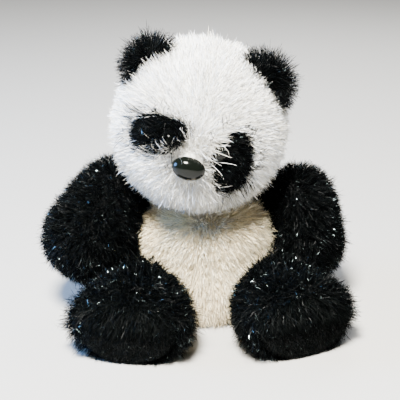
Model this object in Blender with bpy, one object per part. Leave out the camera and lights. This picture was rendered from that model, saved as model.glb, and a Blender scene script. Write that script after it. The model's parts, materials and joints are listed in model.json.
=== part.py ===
"""Seated plush panda: sewn fur panels over stuffing, with plastic eyes and nose.

Metres, +Z up. The toy faces -Y and sits on z = 0, with its origin under the middle of its seat.
"left" and "right" are the toy's own: its left side is at +X. Every panel is a fabric shell cut from
a closed form, and the stuffing under it is the same form, inset.
"""
import math

import bmesh
import bpy
from mathutils import Matrix, Vector

SKIN = 0.0015  # fabric and its backing
GAP = 0.0003  # clearance between neighbouring solids
RUNNING = 0.0005  # clearance in the ball-shaped seam of the neck
SHOULDER_ROOM = 0.0040  # fold of loose fabric round a shoulder
HIP_ROOM = 0.0065  # fold of loose fabric round a hip

TORSO_HEIGHT = 0.0735
TORSO_WIDTH = 0.083
TORSO_DEPTH = 0.078
SEAT_RADIUS = 0.030
SEAT_PANEL_TOP = 0.006
PELLETS_TOP = 0.022
YOKE_BOTTOM = 0.048
SIDE_SEAM_Y = -0.004

NECK_PIVOT = Vector((0.0, 0.0, 0.086))
NECK_RADIUS = 0.015

HEAD_CENTRE = Vector((-0.003, -0.010, 0.1285))
HEAD_ROLL = math.radians(13)
HEAD_TURN = math.radians(-4.5)
HEAD_RADII = Vector((0.050, 0.047, 0.0495))
HEAD_SEAM_Y = 0.006
MUZZLE_ELEVATION = math.radians(-9)
MUZZLE_HEIGHT = 0.0115
MUZZLE_SPREAD = math.radians(27)

EYE_RADIUS = 0.0048
EYE_X = 0.0152
EYE_Z = 0.0022
NOSE_WIDTH = 0.020
NOSE_HEIGHT = 0.0145
NOSE_DEPTH = 0.0065
SEAT_LIFT = 0.0007  # a button's flat back stands this far off the curved fabric
SHANK_RADIUS = 0.0018
SHANK_LENGTH = 0.010
RIM_THICKNESS = 0.0006
WASHER_RADIUS = 0.0065
WASHER_THICKNESS = 0.0012
WASHER_DEPTH = 0.0022  # stuffing between the back of the fabric and a washer's far face
HOLE_REACH = 0.02

EAR_WIDTH = 0.033
EAR_HEIGHT = 0.025
EAR_THICKNESS = 0.010
EAR_ANGLES = {"left": math.radians(40), "right": math.radians(50)}
EAR_FORWARD = 0.19  # slope at which the ears sit forward of the top of the head
EAR_GROOVE_RADIUS = 0.0078
EAR_SINKS = {"left": 0.0028, "right": 0.0046}  # depth of an ear's fold line in the scalp

SHOULDERS = {"left": Vector((0.0605, 0.008, 0.0670)), "right": Vector((-0.0590, 0.003, 0.0735))}
SHOULDER_RADIUS = 0.0225
ARM_DIRECTIONS = {"left": (0.22, -0.10, -0.97), "right": (-0.50, -0.45, -0.74)}
ARM_LENGTHS = {"left": 0.047, "right": 0.054}
PAW_RADII = {"left": 0.0230, "right": 0.0265}

HIP = Vector((0.037, -0.019, 0.0200))
HIP_RADIUS = 0.0195
LEG_SPLAY = {"left": math.radians(23), "right": math.radians(9)}
LEG_LENGTHS = {"left": 0.066, "right": 0.071}
FOOT_WIDTH = 0.067
FOOT_HEIGHT = 0.041
SOLE_LENGTH = 0.008  # a sole pad wraps this far back round the foot

TAIL_RADIUS = 0.0105
LABEL_SIZE = Vector((0.016, 0.024, 0.0008))
LABEL_PLACE = (-0.029, 0.0305, 0.020)
LABEL_TURN = (math.radians(-12), 0, math.radians(35))

BLACK = (0.012, 0.013, 0.015, 1)
WHITE = (0.86, 0.84, 0.79, 1)
FILL = (0.93, 0.93, 0.91, 1)
PLASTIC = (0.02, 0.02, 0.018, 1)
CLEAR = (0.75, 0.75, 0.72, 1)

BIG = 0.25  # reach of a cutting box


def clear_scene():
    for old in list(bpy.data.objects):
        bpy.data.objects.remove(old)


def material(name, colour, roughness):
    made = bpy.data.materials.get(name)
    if made is None:
        made = bpy.data.materials.new(name)
        made.use_nodes = True
        shader = made.node_tree.nodes["Principled BSDF"]
        shader.inputs["Base Color"].default_value = colour
        shader.inputs["Roughness"].default_value = roughness
    return made


def add_object(name, mesh, parent=None, cutter=False):
    made = bpy.data.objects.new(name, mesh)
    bpy.context.scene.collection.objects.link(made)
    made.parent = parent
    if cutter:
        made.hide_render = True
        made.display_type = "WIRE"
    return made


def add_empty(name, place, parent=None, turn=(0, 0, 0)):
    made = bpy.data.objects.new(name, None)
    bpy.context.scene.collection.objects.link(made)
    made.location = place
    made.rotation_euler = turn
    made.parent = parent
    return made


def finish_mesh(name, bm):
    bmesh.ops.recalc_face_normals(bm, faces=bm.faces)
    mesh = bpy.data.meshes.new(name)
    bm.to_mesh(mesh)
    bm.free()
    mesh.shade_smooth()
    return mesh


def skin_rings(name, rings):
    """A closed surface through rings of points; the first and last rings are single points."""
    bm = bmesh.new()
    made = [[bm.verts.new(p) for p in ring] for ring in rings]
    for low, high in zip(made, made[1:]):
        count = max(len(low), len(high))
        for i in range(count):
            j = (i + 1) % count
            if len(low) == 1:
                bm.faces.new((low[0], high[i], high[j]))
            elif len(high) == 1:
                bm.faces.new((low[i], high[0], low[j]))
            else:
                bm.faces.new((low[i], high[i], high[j], low[j]))
    return finish_mesh(name, bm)


def inset_mesh(mesh, depth):
    """The same closed surface, moved inwards by depth."""
    bm = bmesh.new()
    bm.from_mesh(mesh)
    bm.normal_update()
    moves = [(v, v.co - v.normal * depth) for v in bm.verts]
    for vertex, place in moves:
        vertex.co = place
    return finish_mesh(mesh.name + "_inset", bm)


def ball_mesh(name, radius, segments=16, rings=8, scale=(1, 1, 1)):
    bm = bmesh.new()
    bmesh.ops.create_uvsphere(bm, u_segments=segments, v_segments=rings, radius=radius)
    bmesh.ops.scale(bm, vec=scale, verts=bm.verts)
    return finish_mesh(name, bm)


def box_mesh(name, low, high):
    bm = bmesh.new()
    bmesh.ops.create_cube(bm, size=1)
    size = Vector(high) - Vector(low)
    bmesh.ops.scale(bm, vec=size, verts=bm.verts)
    bmesh.ops.translate(bm, vec=(Vector(high) + Vector(low)) / 2, verts=bm.verts)
    return finish_mesh(name, bm)


def turned_mesh(name, profile, segments=16):
    """A closed solid turned about Z from (radius, height) points that start and end on the axis."""
    rings = []
    for radius, height in profile:
        if radius == 0:
            rings.append([Vector((0, 0, height))])
        else:
            turns = [math.tau * i / segments for i in range(segments)]
            rings.append(
                [Vector((radius * math.cos(a), radius * math.sin(a), height)) for a in turns]
            )
    return skin_rings(name, rings)


def ring_mesh(name, inner, outer, thickness, segments=14):
    bm = bmesh.new()
    corners = [(inner, 0), (outer, 0), (outer, thickness), (inner, thickness)]
    loops = []
    for i in range(segments):
        a = math.tau * i / segments
        loops.append([bm.verts.new((r * math.cos(a), r * math.sin(a), z)) for r, z in corners])
    for i in range(segments):
        here, there = loops[i], loops[(i + 1) % segments]
        for k in range(4):
            n = (k + 1) % 4
            bm.faces.new((here[k], there[k], there[n], here[n]))
    return finish_mesh(name, bm)


def cut(target, cutter, operation="DIFFERENCE"):
    step = target.modifiers.new(operation.lower(), "BOOLEAN")
    step.operation = operation
    step.object = cutter
    step.solver = "EXACT"


def panel(name, form, parent, low, high, cutters, finish):
    """A fabric panel: the part of a form's shell inside the box from low to high."""
    made = add_object(name, form["outer"].copy(), parent)
    made.data.name = name
    box = add_object(name + "_region", box_mesh(name + "_region", low, high), parent, cutter=True)
    cut(made, box, "INTERSECT")
    cut(made, form["inner"])
    for cutter in cutters:
        cut(made, cutter)
    made.data.materials.append(finish)
    return made


def make_form(name, outer, parent):
    """The three surfaces of a stuffed form: its outside, its inside, and its stuffing's outside."""
    inner = add_object(name + "_inside", inset_mesh(outer, SKIN), parent, cutter=True)
    return {"outer": outer, "inner": inner, "fill": inset_mesh(outer, SKIN + 2 * GAP)}


def align_z(direction, spin=0.0):
    """Turns +Z to direction, with the piece's own +X level before it spins about that axis."""
    z = Vector(direction).normalized()
    x = Vector((0, 0, 1)).cross(z).normalized()
    y = z.cross(x)
    turn = Matrix((x, y, z)).transposed()
    return (turn @ Matrix.Rotation(spin, 3, "Z")).to_euler()


# ---- torso ----
def torso_profile():
    """Half-width along the height, as (height, radius), from the flat seat to the flat neck."""
    outline = [
        (0.0, SEAT_RADIUS),
        (0.004, 0.0365),
        (0.012, 0.0400),
        (0.026, 0.0405),
        (0.042, 0.0410),
        (0.055, TORSO_WIDTH / 2),
        (0.064, 0.0400),
        (0.070, 0.0345),
        (TORSO_HEIGHT, 0.0220),
    ]
    return outline


def torso_mesh(segments=22):
    depth = TORSO_DEPTH / TORSO_WIDTH
    outline = torso_profile()
    rings = [[Vector((0, 0, 0))]]
    for height, radius in outline:
        turns = [math.tau * (i + 0.5) / segments for i in range(segments)]
        rings.append(
            [Vector((radius * math.cos(a), radius * depth * math.sin(a), height)) for a in turns]
        )
    rings.append([Vector((0, 0, TORSO_HEIGHT + 0.0006))])
    return skin_rings("torso_outside", rings)


def build_torso(black, white, fill):
    frame = add_empty("torso_frame", (0, 0, 0))
    form = make_form("torso", torso_mesh(), frame)
    pockets = []
    for side, name in ((1, "left"), (-1, "right")):
        for place, radius, what in (
            (SHOULDERS[name], SHOULDER_RADIUS + SHOULDER_ROOM, "shoulder"),
            (Vector((side * HIP.x, HIP.y, HIP.z)), HIP_RADIUS + HIP_ROOM, "hip"),
        ):
            ball = ball_mesh(what + "_pocket_" + name, radius, 20, 10)
            pocket = add_object(ball.name, ball, frame, cutter=True)
            pocket.location = place
            pockets.append(pocket)
    neck = add_object(
        "neck_pocket", ball_mesh("neck_pocket", NECK_RADIUS + RUNNING), frame, cutter=True
    )
    neck.location = NECK_PIVOT
    pockets.append(neck)

    seam = GAP / 2
    for side, name in ((1, "left"), (-1, "right")):
        inner_edge, outer_edge = sorted((side * seam, side * BIG))
        panel(
            "belly_panel_" + name, form, frame,
            (inner_edge, -BIG, SEAT_PANEL_TOP + seam), (outer_edge, SIDE_SEAM_Y - seam, BIG),
            pockets, white,
        )
        panel(
            "back_panel_" + name, form, frame,
            (inner_edge, SIDE_SEAM_Y + seam, SEAT_PANEL_TOP + seam),
            (outer_edge, BIG, YOKE_BOTTOM - seam),
            pockets, white,
        )
    panel(
        "shoulder_yoke", form, frame,
        (-BIG, SIDE_SEAM_Y + seam, YOKE_BOTTOM + seam), (BIG, BIG, BIG), pockets, black,
    )
    panel(
        "seat_panel", form, frame, (-BIG, -BIG, -BIG), (BIG, BIG, SEAT_PANEL_TOP - seam),
        pockets, white,
    )
    for name, low, high, finish in (
        ("pellet_bag", -BIG, PELLETS_TOP - seam, material("pellet_cloth", CLEAR, 0.8)),
        ("torso_stuffing", PELLETS_TOP + seam, BIG, fill),
    ):
        body = add_object(name, form["fill"].copy(), frame)
        region = box_mesh(name + "_region", (-BIG, -BIG, low), (BIG, BIG, high))
        cut(body, add_object(name + "_region", region, frame, cutter=True), "INTERSECT")
        for pocket in pockets:
            cut(body, pocket)
        body.data.materials.append(finish)

    tail = add_object("tail", ball_mesh("tail", TAIL_RADIUS, scale=(1.0, 1.0, 0.85)), frame)
    tail.location = (0, TORSO_DEPTH / 2 + 0.005, 0.018)
    clear = add_object("tail_clearance", inset_mesh(form["outer"], -GAP), frame, cutter=True)
    cut(tail, clear)
    tail.data.materials.append(white)
    build_care_label(frame)


def build_care_label(frame):
    """A folded satin label that stands out of the toy's right back seam, low on the torso."""
    wide, long, thick = LABEL_SIZE
    mesh = box_mesh("care_label", (-wide / 2, 0, -thick / 2), (wide / 2, long, thick / 2))
    label = add_object("care_label", mesh, frame)
    label.location = LABEL_PLACE
    label.rotation_euler = LABEL_TURN
    label.data.materials.append(material("label_satin", (0.9, 0.9, 0.88, 1), 0.4))


# ---- head ----
def head_radius(direction):
    """Distance from the head's centre to its skin along a unit direction."""
    x, y, z = (direction[i] / HEAD_RADII[i] for i in range(3))
    radius = 1 / math.sqrt(x * x + y * y + z * z)
    muzzle = Vector((0, -math.cos(MUZZLE_ELEVATION), math.sin(MUZZLE_ELEVATION)))
    off = direction.angle(muzzle) / MUZZLE_SPREAD
    return radius + MUZZLE_HEIGHT * math.exp(-off * off)


def head_point(direction):
    unit = Vector(direction).normalized()
    return unit * head_radius(unit)


def head_mesh(segments=22, rings=13):
    """Rings about the Y axis, from the front pole to the back one, none on the centre seam."""
    rows = [[head_point((0, -1, 0))]]
    for i in range(1, rings):
        polar = math.pi * i / rings
        row = []
        for k in range(segments):
            turn = math.tau * (k + 0.5) / segments
            across = math.sin(polar)
            row.append(
                head_point((across * math.cos(turn), -math.cos(polar), across * math.sin(turn)))
            )
        rows.append(row)
    rows.append([head_point((0, 1, 0))])
    return skin_rings("head_outside", rows)


def face_normal(point):
    """The outward normal of the head's skin near a point of it."""
    def height(place):
        return place.length - head_radius(place.normalized())

    step = 1e-4
    slope = []
    for axis in range(3):
        near, far = point.copy(), point.copy()
        near[axis] -= step
        far[axis] += step
        slope.append(height(far) - height(near))
    return Vector(slope).normalized()


def on_face(x, z):
    """The point of the face skin at this x and z, in the head's frame."""
    low, high = 0.0, 0.08
    for _ in range(40):
        middle = (low + high) / 2
        point = Vector((x, -middle, z))
        if point.length < head_radius(point.normalized()):
            low = middle
        else:
            high = middle
    return Vector((x, -low, z))


def dome_profile(radius, depth, lift=SEAT_LIFT):
    """Half-outline of a domed button whose flat back is at height lift, with its shank below."""
    profile = [(0, -SHANK_LENGTH), (SHANK_RADIUS, -SHANK_LENGTH), (SHANK_RADIUS, lift)]
    profile.append((radius * 0.92, lift))
    steps = 5
    for i in range(steps):
        a = math.pi / 2 * i / steps
        profile.append((radius * math.cos(a), lift + RIM_THICKNESS + depth * math.sin(a)))
    profile.append((0, lift + RIM_THICKNESS + depth))
    return profile


def fastened_button(name, washer_name, frame, place, direction, radius, depth, scale, finish):
    """A button on its shank, its washer, and the holes that both need."""
    turn = align_z(direction)
    button_mesh = turned_mesh(name, dome_profile(radius, depth))
    button_mesh.materials.append(finish)
    for vertex in button_mesh.vertices:
        if vertex.co.z >= SEAT_LIFT - 1e-6 and vertex.co.xy.length > SHANK_RADIUS + 1e-5:
            vertex.co.y *= scale
    button = add_object(name, button_mesh, frame)
    washer_mesh = ring_mesh(
        washer_name, SHANK_RADIUS + GAP / 2, WASHER_RADIUS, WASHER_THICKNESS
    )
    washer_mesh.materials.append(material("washer_plastic", CLEAR, 0.5))
    washer = add_object(washer_name, washer_mesh, frame)
    hole = add_object(
        name + "_hole",
        turned_mesh(name + "_hole", [(0, -HOLE_REACH), (SHANK_RADIUS + GAP, -HOLE_REACH),
                                     (SHANK_RADIUS + GAP, HOLE_REACH), (0, HOLE_REACH)]),
        frame, cutter=True,
    )
    room = SHANK_LENGTH + 2 * GAP
    pocket = add_object(
        name + "_pocket",
        turned_mesh(name + "_pocket", [(0, -room), (WASHER_RADIUS + GAP, -room),
                                       (WASHER_RADIUS + GAP, HOLE_REACH), (0, HOLE_REACH)]),
        frame, cutter=True,
    )
    for part in (button, washer, hole, pocket):
        part.rotation_euler = turn
        part.location = place
    sunk = SKIN + WASHER_THICKNESS + WASHER_DEPTH
    washer.location = place - Vector(direction).normalized() * sunk
    return hole, pocket


def patch_outline(length, width, steps=22):
    """An egg outline, its broad end at -x."""
    points = []
    for i in range(steps):
        a = math.tau * i / steps
        x = length / 2 * math.cos(a)
        taper = 1 - 0.22 * math.cos(a)
        points.append((x, width / 2 * math.sin(a) * taper))
    return points


def patch_cutter(name, frame, direction, spin, length, width):
    """A prism along direction, from inside the head to well outside it."""
    outline = patch_outline(length, width)
    depths = (0.02, 0.07)
    near, far = (
        [Vector((x * grow, y * grow, depth)) for x, y in outline]
        for grow, depth in zip((0.7, 1.15), depths)
    )
    ends = [[Vector((0, 0, depth))] for depth in depths]
    mesh = skin_rings(name, [ends[0], near, far, ends[1]])
    made = add_object(name, mesh, frame, cutter=True)
    made.rotation_euler = align_z(direction, spin)
    return made


def ear_hinge(frame, side, name):
    """The empty on an ear's fold line, and the groove in the scalp that its round base lies in."""
    angle = EAR_ANGLES[name]
    direction = Vector((side * math.sin(angle), -EAR_FORWARD, math.cos(angle))).normalized()
    reach = head_radius(direction) - EAR_SINKS[name]
    hinge = add_empty("ear_hinge_" + name, direction * reach, frame, (0, side * angle, 0))
    half = EAR_WIDTH / 2 + RUNNING
    profile = [
        (0, -half), (EAR_GROOVE_RADIUS, -half), (EAR_GROOVE_RADIUS, half), (0, half),
    ]
    groove = add_object(
        "ear_groove_" + name, turned_mesh("ear_groove_" + name, profile, 12), hinge, cutter=True
    )
    groove.rotation_euler = (0, math.radians(90), 0)
    return hinge, groove


def build_head(black, white, fill, plastic):
    neck = add_empty("neck_pivot", NECK_PIVOT)
    frame = add_empty("head_frame", HEAD_CENTRE - NECK_PIVOT, neck, (0, HEAD_ROLL, HEAD_TURN))
    form = make_form("head", head_mesh(), frame)
    neck_ball = add_object("neck_stuffing", ball_mesh("neck_stuffing", NECK_RADIUS), neck)
    neck_ball.data.materials.append(fill)
    socket = add_object(
        "head_socket", ball_mesh("head_socket", NECK_RADIUS + RUNNING), neck, cutter=True
    )

    fittings = {}
    for side, name in ((1, "left"), (-1, "right")):
        place = on_face(side * EYE_X, EYE_Z)
        fittings[name] = fastened_button(
            "eye_" + name, "eye_washer_" + name, frame, place, face_normal(place),
            EYE_RADIUS, EYE_RADIUS * 0.75, 1.0, plastic,
        )
    nose_place = head_point((0, -math.cos(MUZZLE_ELEVATION), math.sin(MUZZLE_ELEVATION)))
    fittings["nose"] = fastened_button(
        "nose", "nose_washer", frame, nose_place, nose_place,
        NOSE_WIDTH / 2, NOSE_DEPTH, NOSE_HEIGHT / NOSE_WIDTH, plastic,
    )

    ears = {name: ear_hinge(frame, side, name) for side, name in ((1, "left"), (-1, "right"))}

    # the patch on the toy's left hangs nearly upright; the one on its right lies across the cheek
    patches = {
        "left": ((0.0220, -0.0425, -0.0065), math.radians(-78), 0.043, 0.026),
        "right": ((-0.0205, -0.0440, 0.0020), math.radians(20), 0.044, 0.021),
    }
    holes = {}
    for name, (direction, spin, length, width) in patches.items():
        inside = patch_cutter("patch_region_" + name, frame, direction, spin, length, width)
        holes[name] = patch_cutter(
            "patch_hole_" + name, frame, direction, spin, length + 3 * GAP, width + 3 * GAP
        )
        patch = add_object("eye_patch_" + name, form["outer"].copy(), frame)
        cut(patch, inside, "INTERSECT")
        cut(patch, form["inner"])
        cut(patch, fittings[name][0])
        patch.data.materials.append(black)

    seam = GAP / 2
    for side, name in ((1, "left"), (-1, "right")):
        inner_edge, outer_edge = sorted((side * seam, side * BIG))
        panel(
            "face_panel_" + name, form, frame,
            (inner_edge, -BIG, -BIG), (outer_edge, HEAD_SEAM_Y - seam, BIG),
            [holes[name], fittings["nose"][0], fittings[name][0], socket, ears[name][1]], white,
        )
        panel(
            "back_head_panel_" + name, form, frame,
            (inner_edge, HEAD_SEAM_Y + seam, -BIG), (outer_edge, BIG, BIG),
            [socket, ears[name][1]], white,
        )
    core = add_object("head_stuffing", form["fill"], frame)
    core.data.materials.append(fill)
    for _, pocket in fittings.values():
        cut(core, pocket)
    cut(core, socket)
    for _, groove in ears.values():
        cut(core, groove)
    return {name: hinge for name, (hinge, _) in ears.items()}


# ---- ears ----
def ear_mesh(name):
    """A rounded flap: its straight base is a half round about the X axis, and its top is an arch."""
    round_base = EAR_THICKNESS / 2
    rows = []
    steps = 12
    across = 10
    for i in range(steps + 1):
        s = -1 + 2 * i / steps
        half = EAR_WIDTH / 2
        reach = math.sqrt(max(0.0, 1 - abs(s) ** 2.4))
        top = EAR_HEIGHT - round_base
        ring = []
        if 0 < i < steps:
            for k in range(across):
                a = math.tau * k / across
                thick = round_base * (0.35 + 0.65 * reach) * math.cos(a)
                if math.sin(a) >= 0:
                    z = top * reach * math.sin(a)
                else:
                    z = round_base * (0.35 + 0.65 * reach) * math.sin(a)
                ring.append(Vector((s * half, -thick, z)))
        else:
            ring.append(Vector((s * half, 0, 0)))
        rows.append(ring)
    return skin_rings(name, rows)


def build_ears(hinges, black):
    for name, hinge in hinges.items():
        for half, low, high in (
            ("front", -BIG, -GAP / 2),
            ("back", GAP / 2, BIG),
        ):
            title = "ear_%s_%s" % (half, name)
            ear = add_object(title, ear_mesh(title), hinge)
            region = box_mesh(title + "_region", (-BIG, low, -BIG), (BIG, high, BIG))
            cut(ear, add_object(title + "_region", region, hinge, cutter=True), "INTERSECT")
            ear.data.materials.append(black)


# ---- limbs ----
def limb_mesh(name, root_radius, stations, end, lift, segments=16):
    """A limb along its local -Y: a ball-shaped root at its origin, then stations of
    (distance, half-width, half-height), closed by a domed end. lift(half-height) is a station's rise."""
    rings = [[Vector((0, root_radius, 0))]]
    turns = [math.tau * (k + 0.5) / segments for k in range(segments)]
    for i in range(1, 4):
        a = math.pi / 2 * i / 4
        rings.append(
            [
                Vector((root_radius * math.sin(a) * math.cos(t), root_radius * math.cos(a),
                        root_radius * math.sin(a) * math.sin(t)))
                for t in turns
            ]
        )
    for distance, wide, high in stations:
        rise = lift(high)
        rings.append(
            [Vector((wide * math.cos(t), -distance, rise + high * math.sin(t))) for t in turns]
        )
    rings.append([Vector((0, -end, lift(stations[-1][2])))])
    return skin_rings(name, rings)


def arm_stations(length, paw):
    """Half-width and half-height are equal along an arm, which is round."""
    shape = [
        (0.00, SHOULDER_RADIUS),
        (0.21, (SHOULDER_RADIUS + paw) / 2),
        (0.50, paw),
        (0.72, paw * 0.95),
        (0.87, paw * 0.77),
        (0.97, paw * 0.46),
    ]
    return [(part * length, radius, radius) for part, radius in shape]


def leg_stations(length):
    """A thigh that widens into a broad, flat-fronted foot."""
    half_width, half_height = FOOT_WIDTH / 2, FOOT_HEIGHT / 2
    return [
        (0.0, HIP_RADIUS, HIP_RADIUS),
        (0.20 * length, HIP_RADIUS * 1.06, HIP_RADIUS),
        (0.46 * length, half_width * 0.86, half_height),
        (0.68 * length, half_width, half_height),
        (0.84 * length, half_width, half_height),
        (0.935 * length, half_width * 0.92, half_height * 0.92),
        (0.986 * length, half_width * 0.72, half_height * 0.72),
    ]


def build_arms(black, fill):
    for name, place in SHOULDERS.items():
        direction = Vector(ARM_DIRECTIONS[name]).normalized()
        shoulder = add_empty("shoulder_" + name, place)
        frame = add_empty(
            "arm_frame_" + name, (0, 0, 0), shoulder, (-direction).to_track_quat("Y", "Z").to_euler()
        )
        outer = limb_mesh(
            "arm_outside_" + name, SHOULDER_RADIUS, arm_stations(ARM_LENGTHS[name], PAW_RADII[name]),
            ARM_LENGTHS[name], lambda high: 0.0,
        )
        form = make_form("arm_" + name, outer, frame)
        for half, low, high in (
            ("top", (-BIG, -BIG, GAP / 2), (BIG, BIG, BIG)),
            ("under", (-BIG, -BIG, -BIG), (BIG, BIG, -GAP / 2)),
        ):
            panel("arm_%s_panel_%s" % (half, name), form, frame, low, high, [], black)
        core = add_object("arm_stuffing_" + name, form["fill"], frame)
        core.data.materials.append(fill)


def build_legs(black, sole, fill):
    for side, name in ((1, "left"), (-1, "right")):
        hip = add_empty(
            "hip_" + name, (side * HIP.x, HIP.y, HIP.z), None, (0, 0, side * LEG_SPLAY[name])
        )
        length = LEG_LENGTHS[name]
        outer = limb_mesh(
            "leg_outside_" + name, HIP_RADIUS, leg_stations(length), length,
            lambda high: high - HIP_RADIUS,
        )
        form = make_form("leg_" + name, outer, hip)
        seam = GAP / 2
        sole_seam = SOLE_LENGTH - length
        for half, turn in (("outer", side), ("inner", -side)):
            low, high = sorted((turn * seam, turn * BIG))
            panel(
                "leg_%s_panel_%s" % (half, name), form, hip,
                (low, sole_seam + seam, -BIG), (high, BIG, BIG), [], black,
            )
        panel(
            "sole_pad_" + name, form, hip,
            (-BIG, -BIG, -BIG), (BIG, sole_seam - seam, BIG), [], sole,
        )
        core = add_object("leg_stuffing_" + name, form["fill"], hip)
        core.data.materials.append(fill)


def main():
    clear_scene()
    black = material("black_fur_fabric", BLACK, 0.8)
    white = material("white_fur_fabric", WHITE, 0.85)
    sole = material("black_short_pile", BLACK, 0.9)
    fill = material("polyester_fill", FILL, 0.95)
    plastic = material("black_plastic", PLASTIC, 0.12)
    build_torso(black, white, fill)
    hinges = build_head(black, white, fill, plastic)
    build_ears(hinges, black)
    build_arms(black, fill)
    build_legs(black, sole, fill)


main()
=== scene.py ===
"""Looks of the seated plush panda: sewn skins over the stuffing, and their long, shaggy pile.

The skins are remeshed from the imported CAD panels. The pile is made of real strands, tapered ribbons that grow
from the skins, and every strand belongs to the panel that it grows from.
"""
import json
import math

import bpy
import numpy as np
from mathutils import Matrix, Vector
from mathutils.bvhtree import BVHTree
from mathutils.kdtree import KDTree


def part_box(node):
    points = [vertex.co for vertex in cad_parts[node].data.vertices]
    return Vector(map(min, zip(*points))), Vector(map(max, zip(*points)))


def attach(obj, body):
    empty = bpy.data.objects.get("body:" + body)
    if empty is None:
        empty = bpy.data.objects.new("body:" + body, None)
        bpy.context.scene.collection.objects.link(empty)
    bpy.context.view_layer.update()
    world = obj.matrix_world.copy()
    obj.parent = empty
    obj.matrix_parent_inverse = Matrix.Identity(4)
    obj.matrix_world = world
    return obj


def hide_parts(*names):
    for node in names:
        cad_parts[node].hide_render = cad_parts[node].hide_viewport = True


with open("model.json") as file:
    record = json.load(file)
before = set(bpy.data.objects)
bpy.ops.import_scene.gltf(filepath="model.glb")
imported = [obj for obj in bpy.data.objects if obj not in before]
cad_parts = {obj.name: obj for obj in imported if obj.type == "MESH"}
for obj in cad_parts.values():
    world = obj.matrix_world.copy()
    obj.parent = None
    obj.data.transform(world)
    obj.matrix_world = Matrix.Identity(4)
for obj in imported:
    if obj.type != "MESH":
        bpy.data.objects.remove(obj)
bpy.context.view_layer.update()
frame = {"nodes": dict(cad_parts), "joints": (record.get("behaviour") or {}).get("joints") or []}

MM = 0.001
FORM_VOXEL = 1.3 * MM
FORM_PASSES = 6  # of smoothing
BACKING_THICKNESS = 0.8 * MM
FLOOR_CLEARANCE = 0.5 * MM  # of the pile; the backing cloth keeps half of it
rng = np.random.default_rng(11)


# ---- places read from the frame ----
def middle(node):
    low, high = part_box(node)
    return np.array((low + high) / 2)


def joint(name):
    return next(j for j in frame["joints"] if j["name"] == name)


def joint_place(name):
    return np.array(joint(name)["pos_m"])


HEAD = middle("head_stuffing")
NOSE = middle("nose")


# ---- small vector helpers ----
def unit(v):
    length = np.linalg.norm(v, axis=-1, keepdims=True)
    return v / np.maximum(length, 1e-12)


def tangent(v, normal):
    """v without its part along normal, at unit length."""
    flat = v - normal * np.sum(v * normal, axis=-1, keepdims=True)
    return unit(flat)


def turn_about(v, axis, angle):
    """Each row of v turned about its own unit axis by its own angle."""
    c = np.cos(angle)[:, None]
    s = np.sin(angle)[:, None]
    along = np.sum(v * axis, axis=1, keepdims=True)
    return v * c + np.cross(axis, v) * s + axis * along * (1 - c)


def smooth_step(x, low, high):
    t = np.clip((x - low) / (high - low), 0, 1)
    return t * t * (3 - 2 * t)


# ---- materials ----
def new_material(name):
    mat = bpy.data.materials.new(name)
    mat.use_nodes = True
    return mat, mat.node_tree, mat.node_tree.nodes["Principled BSDF"]


def fibre(name, colour, roughness, sheen=0.0, metallic=0.0, specular=0.5):
    """One shade of pile. Its variety comes from many shades side by side, strand by strand."""
    mat, _, shader = new_material(name)
    shader.inputs["Base Color"].default_value = (*colour, 1)
    shader.inputs["Roughness"].default_value = roughness
    shader.inputs["Metallic"].default_value = metallic
    shader.inputs["Specular IOR Level"].default_value = specular
    if sheen:
        shader.inputs["Sheen Weight"].default_value = sheen
        shader.inputs["Sheen Roughness"].default_value = 0.4
    return mat


def cloth(name, colour, dark, scale, bump, roughness=0.9):
    """Knitted or woven cloth: two shades of yarn from a fine noise, and its raised yarns."""
    mat, tree, shader = new_material(name)
    coords = tree.nodes.new("ShaderNodeTexCoord")
    noise = tree.nodes.new("ShaderNodeTexNoise")
    noise.inputs["Scale"].default_value = scale
    noise.inputs["Detail"].default_value = 4
    ramp = tree.nodes.new("ShaderNodeValToRGB")
    ramp.color_ramp.elements[0].color = (*dark, 1)
    ramp.color_ramp.elements[1].color = (*colour, 1)
    lift = tree.nodes.new("ShaderNodeBump")
    lift.inputs["Strength"].default_value = bump
    lift.inputs["Distance"].default_value = 0.3 * MM
    tree.links.new(coords.outputs["Object"], noise.inputs["Vector"])
    tree.links.new(noise.outputs["Fac"], ramp.inputs["Fac"])
    tree.links.new(ramp.outputs["Color"], shader.inputs["Base Color"])
    tree.links.new(noise.outputs["Fac"], lift.inputs["Height"])
    tree.links.new(lift.outputs["Normal"], shader.inputs["Normal"])
    shader.inputs["Roughness"].default_value = roughness
    return mat


def moulded(name, colour, second, roughness, specular):
    """Polished moulded plastic with the faint unevenness of a small moulding."""
    mat, tree, shader = new_material(name)
    coords = tree.nodes.new("ShaderNodeTexCoord")
    noise = tree.nodes.new("ShaderNodeTexNoise")
    noise.inputs["Scale"].default_value = 160
    noise.inputs["Detail"].default_value = 3
    ramp = tree.nodes.new("ShaderNodeValToRGB")
    ramp.color_ramp.elements[0].color = (*colour, 1)
    ramp.color_ramp.elements[1].color = (*second, 1)
    tree.links.new(coords.outputs["Object"], noise.inputs["Vector"])
    tree.links.new(noise.outputs["Fac"], ramp.inputs["Fac"])
    tree.links.new(ramp.outputs["Color"], shader.inputs["Base Color"])
    shader.inputs["Roughness"].default_value = roughness
    shader.inputs["Specular IOR Level"].default_value = specular
    return mat


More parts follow.
